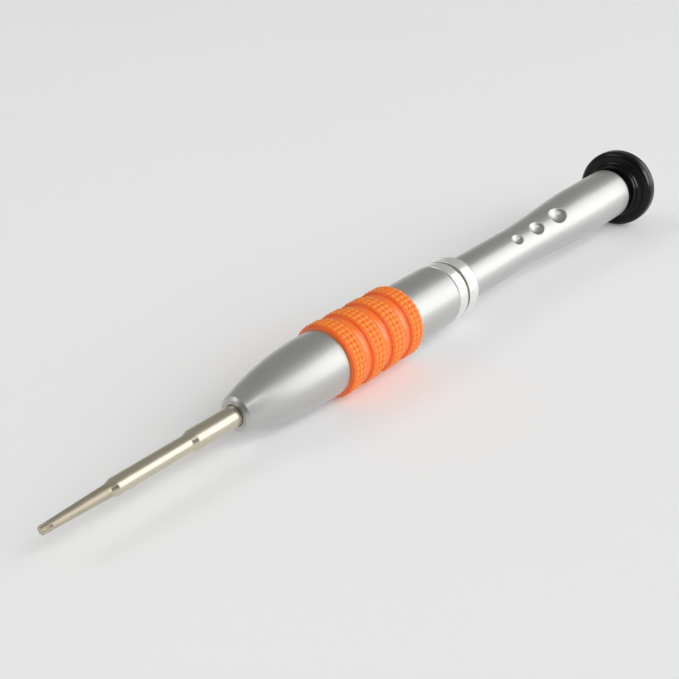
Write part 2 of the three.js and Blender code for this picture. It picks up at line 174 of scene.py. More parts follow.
# Camera: its place from the drive tip, along the axis, to the far side and up, and the way it looks
CAMERA_PLACE = np.array([-54.78, -84.56, 72.45]) * MM
CAMERA_AZIMUTH = math.radians(-51.85)
CAMERA_ELEVATION = math.radians(27.18)
FOCAL_PIXELS = 1080
PICTURE_PIXELS = 679
SENSOR_WIDTH = 36.0

# Floor: half its side, the points along a side, and how far from the drive tip it starts and ends to fade
FLOOR_REACH = 2.0
FLOOR_POINTS = 41
FLOOR_FADE_START = 0.7
FLOOR_FADE_END = 1.7

Span = namedtuple("Span", "front rear radius")


def mount_place(name):
    """Where the record puts one of the part's mounts."""
    mounts = frame["record"]["mounts"]
    return np.array(next(mount["pos_m"] for mount in mounts if mount["name"] == name))


TIP = mount_place("drive_tip")
AXIS = np.array(frame["joints"][0]["axis"])
NEAR = np.array([0.0, -1.0, 0.0])
UP = np.cross(NEAR, AXIS)
TILT = -math.asin(AXIS[2])


def span_of(node):
    """First and last station of a CAD node along the tool's axis, and its greatest radius."""
    mesh = frame["nodes"][node].data
    flat = np.empty(3 * len(mesh.vertices), np.float32)
    mesh.vertices.foreach_get("co", flat)
    offset = flat.reshape(-1, 3) - TIP
    station = offset @ AXIS
    radius = np.hypot(offset @ NEAR, offset @ UP)
    return Span(station.min(), station.max(), radius.max())


BLADE = span_of("blade")
TANG_SLEEVE = span_of("tang_sleeve")
FRONT_BARREL = span_of("front_barrel")
GRIP = span_of("grip_sleeve")
COLLAR = span_of("collar_ring")
STUD = span_of("joint_stud")
REAR_BARREL = span_of("rear_barrel")
BUSH = span_of("cap_bush")
THRUST_WASHER = span_of("thrust_washer")
CAP = span_of("swivel_cap")
PLUG = span_of("cap_plug")
STEM = span_of("pivot_stem")
STEM_WASHER = span_of("stem_washer")
CLIP = span_of("stem_clip")

BARREL_RADIUS = FRONT_BARREL.radius
RIDGE_RADIUS = BARREL_RADIUS + RIDGE_HEIGHT
VALLEY_RADIUS = BARREL_RADIUS + VALLEY_HEIGHT
BEAD_RADIUS = GRIP.radius * BEAD_REACH
RIDGE_PITCH = (GRIP.rear - GRIP.front - RIDGE_WIDTH) / (RIDGE_COUNT - 1)
FLARE_FRONT = REAR_BARREL.front + WAIST_LENGTH
DIMPLE_FRONT = REAR_BARREL.front + DIMPLE_STATIONS[0] - DIMPLE_DIAMETERS[0]
DIMPLE_REAR = REAR_BARREL.front + DIMPLE_STATIONS[-1] + DIMPLE_DIAMETERS[-1]


def smooth_share(value, low, high):
    """The S curve 3t² - 2t³ from 0 at low to 1 at high."""
    share = np.clip((value - low) / (high - low), 0, 1)
    return share * share * (3 - 2 * share)


def soft_least(first, second, width):
    """The smaller of two values, with the corner between them rounded over the given width."""
    return (first + second - np.sqrt((first - second) ** 2 + width**2)) / 2


def stations(front, rear, pitch):
    """Even places from front to rear, no further apart than the pitch."""
    return np.linspace(front, rear, math.ceil((rear - front) / pitch) + 1)


def fillet(before, corner, after, size):
    """Arc of the given radius, tangent to both sides of a corner, turned evenly from side to side."""
    if size == 0:
        return corner[None]
    towards = (before - corner) / np.linalg.norm(before - corner)
    away = (after - corner) / np.linalg.norm(after - corner)
    half = math.acos(np.clip(towards @ away, -1, 1)) / 2
    middle = (towards + away) / np.linalg.norm(towards + away)
    centre = corner + middle * size / math.sin(half)
    start = corner + towards * size / math.tan(half) - centre
    stop = corner + away * size / math.tan(half) - centre
    turn = math.pi - 2 * half
    share = np.linspace(0, 1, max(3, math.ceil(turn / ARC_STEP)) + 1)[:, None]
    return centre + (np.sin((1 - share) * turn) * start + np.sin(share * turn) * stop) / math.sin(turn)


def held(start, stop):
    """Points just inside both ends of a straight run, which keep its shading straight up to its ends."""
    length = np.linalg.norm(stop - start)
    if length < 4 * HOLD:
        return np.empty((0, 2))
    inset = (stop - start) * HOLD / length
    return np.array([start + inset, stop - inset])


def outline(*parts):
    """Outline along the outside from front to rear, and back through the bore if there is one.

    A part is a corner (station, radius, fillet), or a curve: an array of stations and one of radii.
    """
    knots = [np.column_stack(part) if len(part) == 2 else np.array([part[:2]]) for part in parts]
    runs = []
    for place, part in enumerate(parts):
        if len(part) == 2:
            runs.append(knots[place])
        else:
            before = knots[place - 1][-1]
            after = knots[(place + 1) % len(parts)][0]
            runs.append(fillet(before, knots[place][0], after, part[2]))
    joined = []
    for run, following in zip(runs, runs[1:] + runs[:1]):
        joined += [run, held(run[-1], following[0])]
    on_axis = parts[0][1] == 0
    return np.vstack(joined[:-1] if on_axis else joined)


def mesh_object(name, vertices, faces):
    """Object in the scene with a mesh of the given vertices and faces."""
    mesh = bpy.data.meshes.new(name)
    mesh.from_pydata(vertices.tolist(), [], faces)
    made = bpy.data.objects.new(name, mesh)
    bpy.context.scene.collection.objects.link(made)
    return made


def skin(name, profile, angles=COLUMNS, shape=None):
    """Piece with an outline carried round the axis. shape(station, radius, angle) may change the radius.

    An outline that starts and ends on the axis closes in two poles, and any other one closes on itself.
    Angles are either their number, spread evenly, or the angles themselves.
    """
    if np.ndim(angles) == 0:
        angles = np.arange(angles) * 2 * math.pi / angles
    station, angle = np.meshgrid(profile[:, 0], angles, indexing="ij")
    radius = np.repeat(profile[:, 1:], len(angles), axis=1)
    if shape is not None:
        radius = shape(station, radius, angle)
    outward = np.cos(angle)[..., None] * UP + np.sin(angle)[..., None] * NEAR
    points = TIP + station[..., None] * AXIS + radius[..., None] * outward
    on_axis = profile[0, 1] == 0
    rings = points[1:-1] if on_axis else points
    vertices = rings.reshape(-1, 3)
    here = np.arange(len(vertices)).reshape(rings.shape[:2])
    beside = np.roll(here, -1, axis=1)
    quads = np.stack([here, beside, np.roll(beside, -1, axis=0), np.roll(here, -1, axis=0)], axis=-1)
    fans = []
    if on_axis:
        front_pole = np.full(len(angles), len(vertices))
        rear_pole = front_pole + 1
        vertices = np.vstack([vertices, points[0, 0], points[-1, 0]])
        quads = quads[:-1]
        fans += np.column_stack([front_pole, beside[0], here[0]]).tolist()
        fans += np.column_stack([here[-1], beside[-1], rear_pole]).tolist()
    piece = mesh_object(name, vertices, quads.reshape(-1, 4).tolist() + fans)
    piece.data.polygons.foreach_set("use_smooth", np.ones(len(piece.data.polygons), bool))
    return piece


class Wire:
    """A shader socket that takes part in arithmetic: each operator on values adds a Math node."""

    def __init__(self, tree, socket=None):
        self.tree = tree
        self.socket = socket

    def node(self, kind, inputs, output=0, **settings):
        """Adds a node of a kind, with its settings and then its inputs, and returns one of its outputs."""
        made = self.tree.nodes.new("ShaderNode" + kind)
        for setting, value in settings.items():
            setattr(made, setting, value)
        for name, value in inputs.items():
            if isinstance(value, Wire):
                self.tree.links.new(value.socket, made.inputs[name])
            else:
                made.inputs[name].default_value = value
        return Wire(self.tree, made.outputs[output] if len(made.outputs) else None)

    def math(self, operation, *values):
        """Adds a Math node."""
        return self.node("Math", dict(enumerate(values)), operation=operation)

    def __add__(self, other):
        return self.math("ADD", self, other)

    def __radd__(self, other):
        return self.math("ADD", other, self)

    def __sub__(self, other):
        return self.math("SUBTRACT", self, other)

    def __rsub__(self, other):
        return self.math("SUBTRACT", other, self)

    def __mul__(self, other):
        return self.math("MULTIPLY", self, other)

    def __rmul__(self, other):
        return self.math("MULTIPLY", other, self)

    def __truediv__(self, other):
        return self.math("DIVIDE", self, other)

    def __rtruediv__(self, other):
        return self.math("DIVIDE", other, self)

    def __pow__(self, other):
        return self.math("POWER", self, other)


def linear(red, green, blue):
    """Screen colour, 0 to 255, as the linear colour that shaders take."""
    shares = np.array([red, green, blue]) / 255
    dark = shares / 12.92
    light = ((shares + 0.055) / 1.055) ** 2.4
    return (*np.where(shares > 0.04045, light, dark).tolist(), 1.0)


def ramp(value, low, high):
    """S curve from 0 at low to 1 at high, as a Map Range node."""
    inputs = {"Value": value, "From Min": low, "From Max": high}
    return value.node("MapRange", inputs, interpolation_type="SMOOTHSTEP")


def blend(share, first, second):
    """Colour between two others."""
    return share.node("Mix", {0: share, 6: first, 7: second}, output=2, data_type="RGBA")


def noise(tool, scale, detail=2.0, stretch=(1.0, 1.0, 1.0)):
    """Cloudy pattern about a half, with so many features to a millimetre.

    It is drawn out along each direction in which stretch is small.
    """
    place = tool.node("VectorMath", {0: tool, 1: stretch}, operation="MULTIPLY")
    return tool.node("TexNoise", {"Vector": place, "Scale": scale, "Detail": detail})


def split(tool):
    """Station along the axis and distance from it, in millimetres."""
    station = tool.node("SeparateXYZ", {"Vector": tool}, output="X")
    across = tool.node("VectorMath", {0: tool, 1: (0.0, 1.0, 1.0)}, operation="MULTIPLY")
    distance = tool.node("VectorMath", {0: across}, output="Value", operation="LENGTH")
    return station, distance


def bump(height, depth):
    """Normal of a surface whose height, 0 to 1, stands for the given depth."""
    return height.node("Bump", {"Height": height, "Strength": 1.0, "Distance": depth})


def material(name, draw):
    """Material whose shader inputs come from draw(tool), where tool is the place in the tool's own
    millimetres: x from the drive tip along the axis, z up."""
    made = bpy.data.materials.new(name)
    made.use_nodes = True
    made.node_tree.nodes.clear()
    start = Wire(made.node_tree)
    place = start.node("TexCoord", {}, output="Object")
    placing = {"Vector": place, "Location": TIP, "Rotation": (0.0, TILT, 0.0), "Scale": (MM, MM, MM)}
    tool = start.node("Mapping", placing, vector_type="TEXTURE")
    surface = start.node("BsdfPrincipled", draw(tool))
    start.node("OutputMaterial", {"Surface": surface})
    return made


def satin_aluminium(tool):
    """Blasted and anodised aluminium: fine grain, faint turning rings and a soft haze from handling.

    The dimples, which lie deeper than the flare's outline, were cut afterwards and are smoother and uncoated.
    """
    station, distance = split(tool)
    grain = noise(tool, 7.0, 3.0)
    haze = noise(tool, 0.16, 3.0)
    rings = noise(tool, 5.0, 1.0, (1.0, 0.02, 0.02))
    tone = blend(haze, (0.56, 0.565, 0.555, 1.0), (0.60, 0.605, 0.595, 1.0))
    flare = ramp(station, FLARE_FRONT / MM, (FLARE_FRONT + FLARE_LENGTH) / MM)
    depth = (WAIST_RADIUS + flare * (REAR_BARREL.radius - WAIST_RADIUS)) / MM - distance
    behind_front = ramp(station, DIMPLE_FRONT / MM, (DIMPLE_FRONT + DIMPLE_FINISH_FADE) / MM)
    behind_rear = ramp(station, (DIMPLE_REAR - DIMPLE_FINISH_FADE) / MM, DIMPLE_REAR / MM)
    deep = ramp(depth, DIMPLE_FINISH_START / MM, DIMPLE_FINISH_FULL / MM)
    cut = behind_front * (1 - behind_rear) * deep
    return {
        "Base Color": blend(cut, tone, (0.58, 0.58, 0.565, 1.0)),
        "Metallic": 1.0,
        "Roughness": (0.42 + haze * 0.05 + grain * 0.06) * (1 - cut * 0.16),
        "Coat Weight": (1 - cut) * 0.5,
        "Coat Roughness": 0.14,
        "Coat IOR": 1.7,
        "Normal": bump(grain * 0.7 + rings * 0.3, 0.004 * MM),
    }


def nickel_steel(tool):
    """Plated steel: warm and bright, with polish marks round it, and rubbed along the ground point."""
    station, _ = split(tool)
    drawn = noise(tool, 6.0, 3.0, (0.06, 1.0, 1.0))
    polish = noise(tool, 8.0, 2.0, (1.0, 0.05, 0.05))
    stain = noise(tool, 0.5, 3.0)
    ground = 1 - ramp(station, (POINT_LENGTH - GRINDING_FADE) / MM, (POINT_LENGTH + GRINDING_FADE) / MM)
    lines = ground * drawn + (1 - ground) * polish * 0.2
    polished = blend(stain, (0.61, 0.56, 0.45, 1.0), (0.70, 0.655, 0.54, 1.0))
    rubbed = blend(stain * 0.5 + drawn * 0.5, (0.42, 0.37, 0.28, 1.0), (0.70, 0.64, 0.52, 1.0))
    return {
        "Base Color": blend(ground, polished, rubbed),
        "Metallic": 1.0,
        "Roughness": 0.28 + stain * 0.06 + ground * (0.12 + drawn * 0.10),
        "Normal": bump(lines, 0.0015 * MM),
    }


def soft_grip(tool):
    """Orange elastomer with a fine moulded mottle, glossier in the valleys. A painted highlight makes the bead
    tops lighter, and painted shade makes the pits and the ridges' walls a deeper red."""
    _, distance = split(tool)
    mottle = noise(tool, 3.0, 3.0)
    skin_grain = noise(tool, 14.0, 2.0)
    height = ramp(distance, (RIDGE_RADIUS - PIT_DEPTH) / MM, BEAD_RADIUS / MM)
    on_ridge = ramp(distance, (VALLEY_RADIUS + VALLEY_FADE) / MM, (RIDGE_RADIUS - PIT_DEPTH) / MM)
    # Masks for painted shade: in the pits where the beads meet, and on the ridges' walls.
    pits = on_ridge * (1 - height)
    walls = 4 * on_ridge * (1 - on_ridge)
    plain = blend(mottle, linear(252, 117, 26), linear(255, 125, 32))
    # Painted highlight: lighter, yellower orange towards the bead tops.
    painted_top_highlight = blend(height * 0.7, plain, linear(255, 156, 52))
    return {
        # Painted shade: a deeper red in the pits and on the ridges' walls.
        "Base Color": blend(pits * 0.6 + walls * 0.35, painted_top_highlight, linear(234, 66, 8)),
        "Roughness": 0.30 + on_ridge * 0.06 + mottle * 0.06,
        "Coat Weight": 0.7 * (1 - on_ridge) ** 2.0,
        "Coat Roughness": 0.22,
        "Normal": bump(skin_grain, 0.006 * MM),
    }


def bright_plate(tool):
    """Bright plating with fine polish rings. In its groove it is rougher, and painted shade darkens it to brown.
    """
    station, distance = split(tool)
    rings = noise(tool, 9.0, 2.0, (1.0, 0.02, 0.02))
    from_groove = station - (COLLAR.front + COLLAR_GROOVE_START + COLLAR_GROOVE_WIDTH / 2) / MM
    beside = ramp(from_groove * from_groove, 0.0, (COLLAR_GROOVE_WIDTH / MM) ** 2)
    floor = COLLAR.radius - COLLAR_GROOVE_DEPTH
    outside = ramp(distance, (floor + COLLAR_DULL_AND_SHADE_HEIGHT) / MM, (floor + COLLAR_BRIGHT_HEIGHT) / MM)
    # Painted shade: dark brown in the groove and bright plating outside it. The groove is also rougher.
    open_face = 1 - (1 - beside) * (1 - outside)
    tone = blend(open_face, (0.40, 0.34, 0.26, 1.0), (0.92, 0.92, 0.90, 1.0))
    return {
        "Base Color": tone,
        "Metallic": 0.8,
        "Roughness": 0.34 - open_face * 0.10 + rings * 0.08,
        "Normal": bump(rings, 0.002 * MM),
    }


def black_cap(tool):
    """Glossy black moulding with a faint flow haze and a slight unevenness, like the peel of an orange."""
    haze = noise(tool, 0.35, 3.0)
    peel = noise(tool, 1.6, 2.0)
    tone = blend(haze, linear(4, 4, 6), linear(9, 9, 11))
    return {
        "Base Color": tone,
        "Roughness": 0.16 + haze * 0.10,
        "Specular IOR Level": 0.25,
        "Normal": bump(peel, 0.006 * MM),
    }


def black_plug(tool):
    """Black moulding of the plug, duller than the cap, with a fine spark texture."""
    spark = noise(tool, 9.0, 3.0)
    haze = noise(tool, 0.4, 2.0)
    tone = blend(haze, linear(20, 20, 22), linear(32, 32, 33))
    return {
        "Base Color": tone,
        "Roughness": 0.38 + spark * 0.14,
        "Normal": bump(spark, 0.012 * MM),
    }


def zinc_steel(tool):
    """Zinc plate: grey, softly spangled and slightly blue."""
    spangle = noise(tool, 2.2, 4.0)
    grain = noise(tool, 11.0, 2.0)
    tone = blend(spangle, (0.44, 0.46, 0.48, 1.0), (0.62, 0.64, 0.66, 1.0))
    return {
        "Base Color": tone,
        "Metallic": 1.0,
        "Roughness": 0.26 + spangle * 0.16,
        "Normal": bump(grain, 0.004 * MM),
    }


def turned_brass(tool):
    """Machined brass with fine turning rings and a little tarnish."""
    rings = noise(tool, 8.0, 2.0, (1.0, 0.02, 0.02))
    tarnish = noise(tool, 0.6, 4.0)
    tone = blend(tarnish, (0.48, 0.31, 0.10, 1.0), (0.72, 0.52, 0.22, 1.0))
    return {
        "Base Color": tone,
        "Metallic": 1.0,
        "Roughness": 0.22 + tarnish * 0.20,
        "Normal": bump(rings, 0.004 * MM),
    }


def white_nylon(tool):
    """Milky nylon with a faint moulded grain."""
    cloud = noise(tool, 1.2, 3.0)
    grain = noise(tool, 12.0, 2.0)
    tone = blend(cloud, linear(222, 218, 206), linear(236, 233, 224))
    return {
        "Base Color": tone,
        "Roughness": 0.40 + cloud * 0.12,
        "Normal": bump(grain, 0.005 * MM),
    }


FINISHES = {
    draw.__name__: material(draw.__name__, draw)
    for draw in (
        satin_aluminium,
        nickel_steel,
        soft_grip,
        bright_plate,
        black_cap,
        black_plug,
        zinc_steel,
        turned_brass,
        white_nylon,
    )
}
BODY_OF = {
    node: body
    for body, nodes in frame["record"]["behaviour"]["bodies"].items()
    for node in nodes
}


def dress(piece, node, finish):
    """Gives a piece its finish, and puts it on its CAD node's body in that node's place."""
    piece.data.materials.append(FINISHES[finish])
    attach(piece, BODY_OF[node])
    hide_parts(node)


def flat_cut(half, angle):
    """Distance at which a ray from the axis meets a pair of flats: half / |cos(angle)|, kept finite."""
    return half / np.maximum(np.abs(np.cos(angle)), LEAST_COSINE)


def lobed_bar(station, radius, angle):
    """Bar with round flutes in its drive tip and two flats on its tang.

    A flute's circle, with its centre at distance c and radius f, leaves c cos(d) - sqrt(f² - c² sin²(d)) at
    the angle d from its middle. The cutter lifts away at the flute's end.
    """
    pitch = 2 * math.pi / DRIVE_LOBES
    turn = (angle + pitch / 2) % pitch - pitch / 2
    lift = FLUTE_RUN_OUT * smooth_share(station, DRIVE_LENGTH - FLUTE_RUN_OUT, DRIVE_LENGTH + FLUTE_RUN_OUT)
    centre = DRIVE_RADIUS - FLUTE_DEPTH + FLUTE_RADIUS + lift
    inside = FLUTE_RADIUS**2 - (centre * np.sin(turn)) ** 2
    flute = np.where(inside > 0, centre * np.cos(turn) - np.sqrt(np.maximum(inside, 0)), 2 * radius)
    on_flutes = station < DRIVE_LENGTH + FLUTE_RUN_OUT
    on_tang = station > BLADE.rear - TANG_FLAT_LENGTH
    limit = np.where(on_flutes, flute, np.where(on_tang, flat_cut(TANG_FLAT_HALF, angle), 2 * radius))
    return np.minimum(radius, soft_least(radius, limit, FLUTE_LIP))


def blade():
    """Rod with a fluted drive tip, a slim cone, a neck and a shank, and a flatted tang inside the handle."""
    neck_front = POINT_LENGTH + POINT_STEP_LENGTH
    neck_rear = neck_front + NECK_LENGTH
    shank_front = neck_rear + SHANK_STEP_LENGTH
    fluted = stations(2 * DRIVE_EDGE, DRIVE_LENGTH + FLUTE_RUN_OUT, FLUTE_PITCH)
    taper = (POINT_BASE_RADIUS - DRIVE_RADIUS) / POINT_LENGTH
    flat_front = BLADE.rear - TANG_FLAT_LENGTH
    profile = outline(
        (0, 0, 0),
        (0, DRIVE_RADIUS / 2, 0),
        (0, DRIVE_RADIUS, DRIVE_EDGE),
        (fluted, DRIVE_RADIUS + taper * fluted),
        (POINT_LENGTH, POINT_BASE_RADIUS, BLADE_FILLET),
        (neck_front, NECK_RADIUS, BLADE_FILLET),
        (neck_rear, NECK_RADIUS, BLADE_FILLET),
        (shank_front, BLADE.radius, BLADE_FILLET),
        (flat_front - HOLD, BLADE.radius, 0),
        (flat_front + HOLD, BLADE.radius, 0),
        (BLADE.rear - TANG_CHAMFER, BLADE.radius, FINE_EDGE),
        (BLADE.rear, BLADE.radius - TANG_CHAMFER, FINE_EDGE),
        (BLADE.rear, 0, 0),
    )
    dress(skin("stepped_blade", profile, FINE_COLUMNS, lobed_bar), "blade", "nickel_steel")


def flatted_bore(station, radius, angle):
    """Bore that closes on the tang's flats, where these are nearer than the round bore."""
    flat = flat_cut(TANG_FLAT_HALF + FIT_GAP, angle)
    in_bore = radius < (TANG_SLEEVE.radius + BLADE.radius) / 2
    on_flats = station > BLADE.rear - TANG_FLAT_LENGTH + FIT_GAP
    return np.where(in_bore & on_flats, np.minimum(radius, flat), radius)


def tang_sleeve():
    """Sleeve with a bore that is round in front and flatted behind."""
    bore = BLADE.radius + FIT_GAP
    flat_front = BLADE.rear - TANG_FLAT_LENGTH + FIT_GAP
    profile = outline(
        (TANG_SLEEVE.front, bore, FINE_EDGE),
        (TANG_SLEEVE.front, TANG_SLEEVE.radius, FINE_EDGE),
        (TANG_SLEEVE.rear, TANG_SLEEVE.radius, FINE_EDGE),
        (TANG_SLEEVE.rear, bore, FINE_EDGE),
        (flat_front + HOLD, bore, 0),
        (flat_front - HOLD, bore, 0),
    )
    dress(skin("tang_socket", profile, FINE_COLUMNS, flatted_bore), "tang_sleeve", "turned_brass")


def front_barrel():
    """Bullet nose on an arc of a circle that runs into the barrel without a corner, the grip's recess and a
    rounded end, with a stepped bore."""
    nose_rear = FRONT_BARREL.front + NOSE_LENGTH
    rise = BARREL_RADIUS - NOSE_END_RADIUS
    run = NOSE_LENGTH - NOSE_CHAMFER
    arc_radius = (run**2 + rise**2) / (2 * rise)
    sweep = np.linspace(math.asin(run / arc_radius), 0, math.ceil(run / CURVE_PITCH))[1:]
    nose = (nose_rear - arc_radius * np.sin(sweep), BARREL_RADIUS - arc_radius * (1 - np.cos(sweep)))
    recess = BARREL_RADIUS - GRIP_RECESS_DEPTH
    stem_bore = BLADE.radius + FIT_GAP
    sleeve_bore = TANG_SLEEVE.radius + FIT_GAP
    stud_bore = STUD.radius + FIT_GAP
    shoulder = FRONT_BARREL.front + NOSE_BORE_LENGTH
    profile = outline(
        (FRONT_BARREL.front, stem_bore, FINE_EDGE),
        (FRONT_BARREL.front, NOSE_END_RADIUS - NOSE_CHAMFER, 2 * FINE_EDGE),
        (FRONT_BARREL.front + NOSE_CHAMFER, NOSE_END_RADIUS, 2 * FINE_EDGE),
        nose,
        (GRIP.front - SEAT_GAP, BARREL_RADIUS, FINE_EDGE),
        (GRIP.front - SEAT_GAP, recess, FINE_EDGE),
        (GRIP.rear + SEAT_GAP, recess, FINE_EDGE),
        (GRIP.rear + SEAT_GAP, BARREL_RADIUS, FINE_EDGE),
        (FRONT_BARREL.rear, BARREL_RADIUS, BARREL_EDGE_RADIUS),
        (FRONT_BARREL.rear, stud_bore, FINE_EDGE),
        (STUD.front - SEAT_GAP, stud_bore, 0),
        (STUD.front - SEAT_GAP, sleeve_bore, 0),
        (shoulder, sleeve_bore, 0),
        (shoulder, stem_bore, 0),
    )
    dress(skin("bullet_barrel", profile), "front_barrel", "satin_aluminium")


def beads(station, radius, angle):
    """Rounded beads in a grid on each ridge.

    With x across and y along a bead, each from -1 to 1, it drops from its top by the mean of |x|^p and
    |y|^p, so that pits lie where four beads meet. The outer rows end level with their ridge, and a lip in
    front of the first row stays bare.
    """
    lip = np.where(station < GRIP.front + RIDGE_PITCH, FRONT_LIP, BEAD_LIP)
    along = (station - GRIP.front) % RIDGE_PITCH - lip
    row_width = (RIDGE_WIDTH - lip) / BEAD_ROWS
    across = 2 * ((angle * BEADS_AROUND / (2 * math.pi)) % 1) - 1
    lengthwise = 2 * ((along / row_width) % 1) - 1
    drop = (np.abs(across) ** BEAD_ROUNDNESS + np.abs(lengthwise) ** BEAD_ROUNDNESS) / 2
    height = BEAD_RADIUS - RIDGE_RADIUS - (BEAD_RADIUS - RIDGE_RADIUS + PIT_DEPTH) * drop
    edge = np.minimum(along, RIDGE_WIDTH - lip - along) / (row_width / 2)
    shoulder = 1 - np.clip(1 - edge, 0, 1) ** BEAD_ROUNDNESS
    on_ridge = (radius > RIDGE_RADIUS - RADIUS_TOLERANCE) & (edge > 0)
    return np.where(on_ridge, radius + height * shoulder, radius)


def grip_sleeve():
    """Four ridges with troughs between them, 1 - |t|^p deep across a trough's t from -1 to 1."""
    ridge = np.linspace(0, RIDGE_WIDTH, BEAD_ROWS * ROW_STEPS + 1)
    share = np.linspace(-1, 1, VALLEY_STEPS + 1)[1:-1]
    valley_width = RIDGE_PITCH - RIDGE_WIDTH
    trough = RIDGE_RADIUS - (RIDGE_RADIUS - VALLEY_RADIUS) * (1 - np.abs(share) ** VALLEY_FLATNESS)
    period = np.concatenate([ridge, RIDGE_WIDTH + valley_width * (share + 1) / 2])
    period_radius = np.concatenate([np.full(len(ridge), RIDGE_RADIUS), trough])
    outer = (GRIP.front + np.arange(RIDGE_COUNT)[:, None] * RIDGE_PITCH + period).ravel()
    outer_radius = np.tile(period_radius, RIDGE_COUNT)
    seen = (outer > GRIP.front + FRONT_LIP) & (outer < GRIP.rear - 2 * GRIP_EDGE)
    bore = BARREL_RADIUS - GRIP_RECESS_DEPTH + FIT_GAP
    profile = outline(
        (GRIP.front, bore, FINE_EDGE),
        (GRIP.front, RIDGE_RADIUS, FRONT_LIP),
        (outer[seen], outer_radius[seen]),
        (GRIP.rear, RIDGE_RADIUS, GRIP_EDGE),
        (GRIP.rear, bore, FINE_EDGE),
    )
    dress(skin("beaded_grip", profile, BEADS_AROUND * BEAD_STEPS, beads), "grip_sleeve", "soft_grip")


def collar_ring():
    """Band with one groove round it and a bevel down to the rear barrel."""
    bore = STUD.radius + FIT_GAP
    groove_front = COLLAR.front + COLLAR_GROOVE_START
    groove_rear = groove_front + COLLAR_GROOVE_WIDTH
    floor = COLLAR.radius - COLLAR_GROOVE_DEPTH
    edge = 2 * FINE_EDGE
    profile = outline(
        (COLLAR.front, bore, FINE_EDGE),
        (COLLAR.front, COLLAR.radius, 3 * FINE_EDGE),
        (groove_front, COLLAR.radius, edge),
        (groove_front, floor, edge),
        (groove_rear, floor, edge),
        (groove_rear, COLLAR.radius, edge),
        (COLLAR.rear - COLLAR_BEVEL_LENGTH, COLLAR.radius, 3 * edge),
        (COLLAR.rear, COLLAR.radius - COLLAR_BEVEL_DEPTH, edge),
        (COLLAR.rear, bore, FINE_EDGE),
    )
    dress(skin("grooved_collar", profile), "collar_ring", "bright_plate")


def threaded(station, radius, angle):
    """Vee thread: the radius drops by its depth times a triangle wave of station / pitch - angle in turns."""
    turns = (station - STUD.front) / THREAD_PITCH - angle / (2 * math.pi)
    wave = np.abs(2 * (turns % 1) - 1)
    return np.minimum(radius, STUD.radius - THREAD_DEPTH * wave)


def joint_stud():
    """Threaded rod with chamfered ends."""
    shank = stations(STUD.front + STUD_CHAMFER, STUD.rear - STUD_CHAMFER, THREAD_PITCH / THREAD_STEPS)
    end_radius = STUD.radius - STUD_CHAMFER
    profile = outline(
        (STUD.front, 0, 0),
        (STUD.front, end_radius, 0),
        (shank, np.full(len(shank), STUD.radius)),
        (STUD.rear, end_radius, 0),
        (STUD.rear, 0, 0),
    )
    dress(skin("threaded_stud", profile, FINE_COLUMNS, threaded), "joint_stud", "zinc_steel")


def flare_radius(station):
    """The waist's radius, then an S curve up to the handle's end."""
    share = smooth_share(station, FLARE_FRONT, FLARE_FRONT + FLARE_LENGTH)
    return WAIST_RADIUS + (REAR_BARREL.radius - WAIST_RADIUS) * share


def dimpled(station, radius, angle):
    """Oval dimples.

    A ray from the axis meets a ball of radius b, whose centre lies L from the axis, at
    L cos(d) - sqrt(b² - x² - L² sin²(d)). Here d is the angle from the dimple's middle, and x is the distance
    along the axis, shortened to make the ball an oval.
    """
    for offset, diameter in zip(DIMPLE_STATIONS, DIMPLE_DIAMETERS):
        middle = REAR_BARREL.front + offset
        depth = DIMPLE_DEPTH_RATIO * diameter
        ball = diameter**2 / (8 * depth) + depth / 2
        lift = flare_radius(middle) + ball - depth
        turn = angle - DIMPLE_LEAN
        inside = ball**2 - ((station - middle) / DIMPLE_STRETCH) ** 2 - (lift * np.sin(turn)) ** 2
        met = (inside > 0) & (np.cos(turn) > 0)
        bowl = np.where(met, lift * np.cos(turn) - np.sqrt(np.maximum(inside, 0)), 2 * radius)
        radius = np.where(met, np.minimum(radius, soft_least(radius, bowl, DIMPLE_LIP)), radius)
    return radius


def rear_barrel():
    """Slim waist, flare and rounded end, with a blind bore for the stud and another for the bush."""
    stud_bore = STUD.radius + FIT_GAP
    stud_floor = STUD.rear + SEAT_GAP
    bush_bore = BUSH_RADIUS + FIT_GAP
    bush_floor = STEM.front - BUSH_BORE_SPARE
    curve_front = REAR_BARREL.front + 4 * FINE_EDGE
    curve_rear = REAR_BARREL.rear - 1.2 * HANDLE_END_RADIUS
    curve = np.concatenate([
        stations(curve_front, DIMPLE_FRONT, CURVE_PITCH)[:-1],
        stations(DIMPLE_FRONT, DIMPLE_REAR, DIMPLE_PITCH)[:-1],
        stations(DIMPLE_REAR, curve_rear, CURVE_PITCH),
    ])
    profile = outline(
        (stud_floor, 0, 0),
        (stud_floor, stud_bore, 0),
        (REAR_BARREL.front, stud_bore, FINE_EDGE),
        (REAR_BARREL.front, WAIST_RADIUS, FINE_EDGE),
        (curve, flare_radius(curve)),
        (REAR_BARREL.rear, REAR_BARREL.radius, HANDLE_END_RADIUS),
        (REAR_BARREL.rear, bush_bore, FINE_EDGE),
        (bush_floor, bush_bore, 0),
        (bush_floor, 0, 0),
    )
    field = np.linspace(-DIMPLE_FIELD, DIMPLE_FIELD, DIMPLE_COLUMNS)
    rest = np.linspace(DIMPLE_FIELD, 2 * math.pi - DIMPLE_FIELD, PLAIN_COLUMNS)[1:-1]
    angles = DIMPLE_LEAN + np.concatenate([field, rest])
    dress(skin("flared_barrel", profile, angles, dimpled), "rear_barrel", "satin_aluminium")


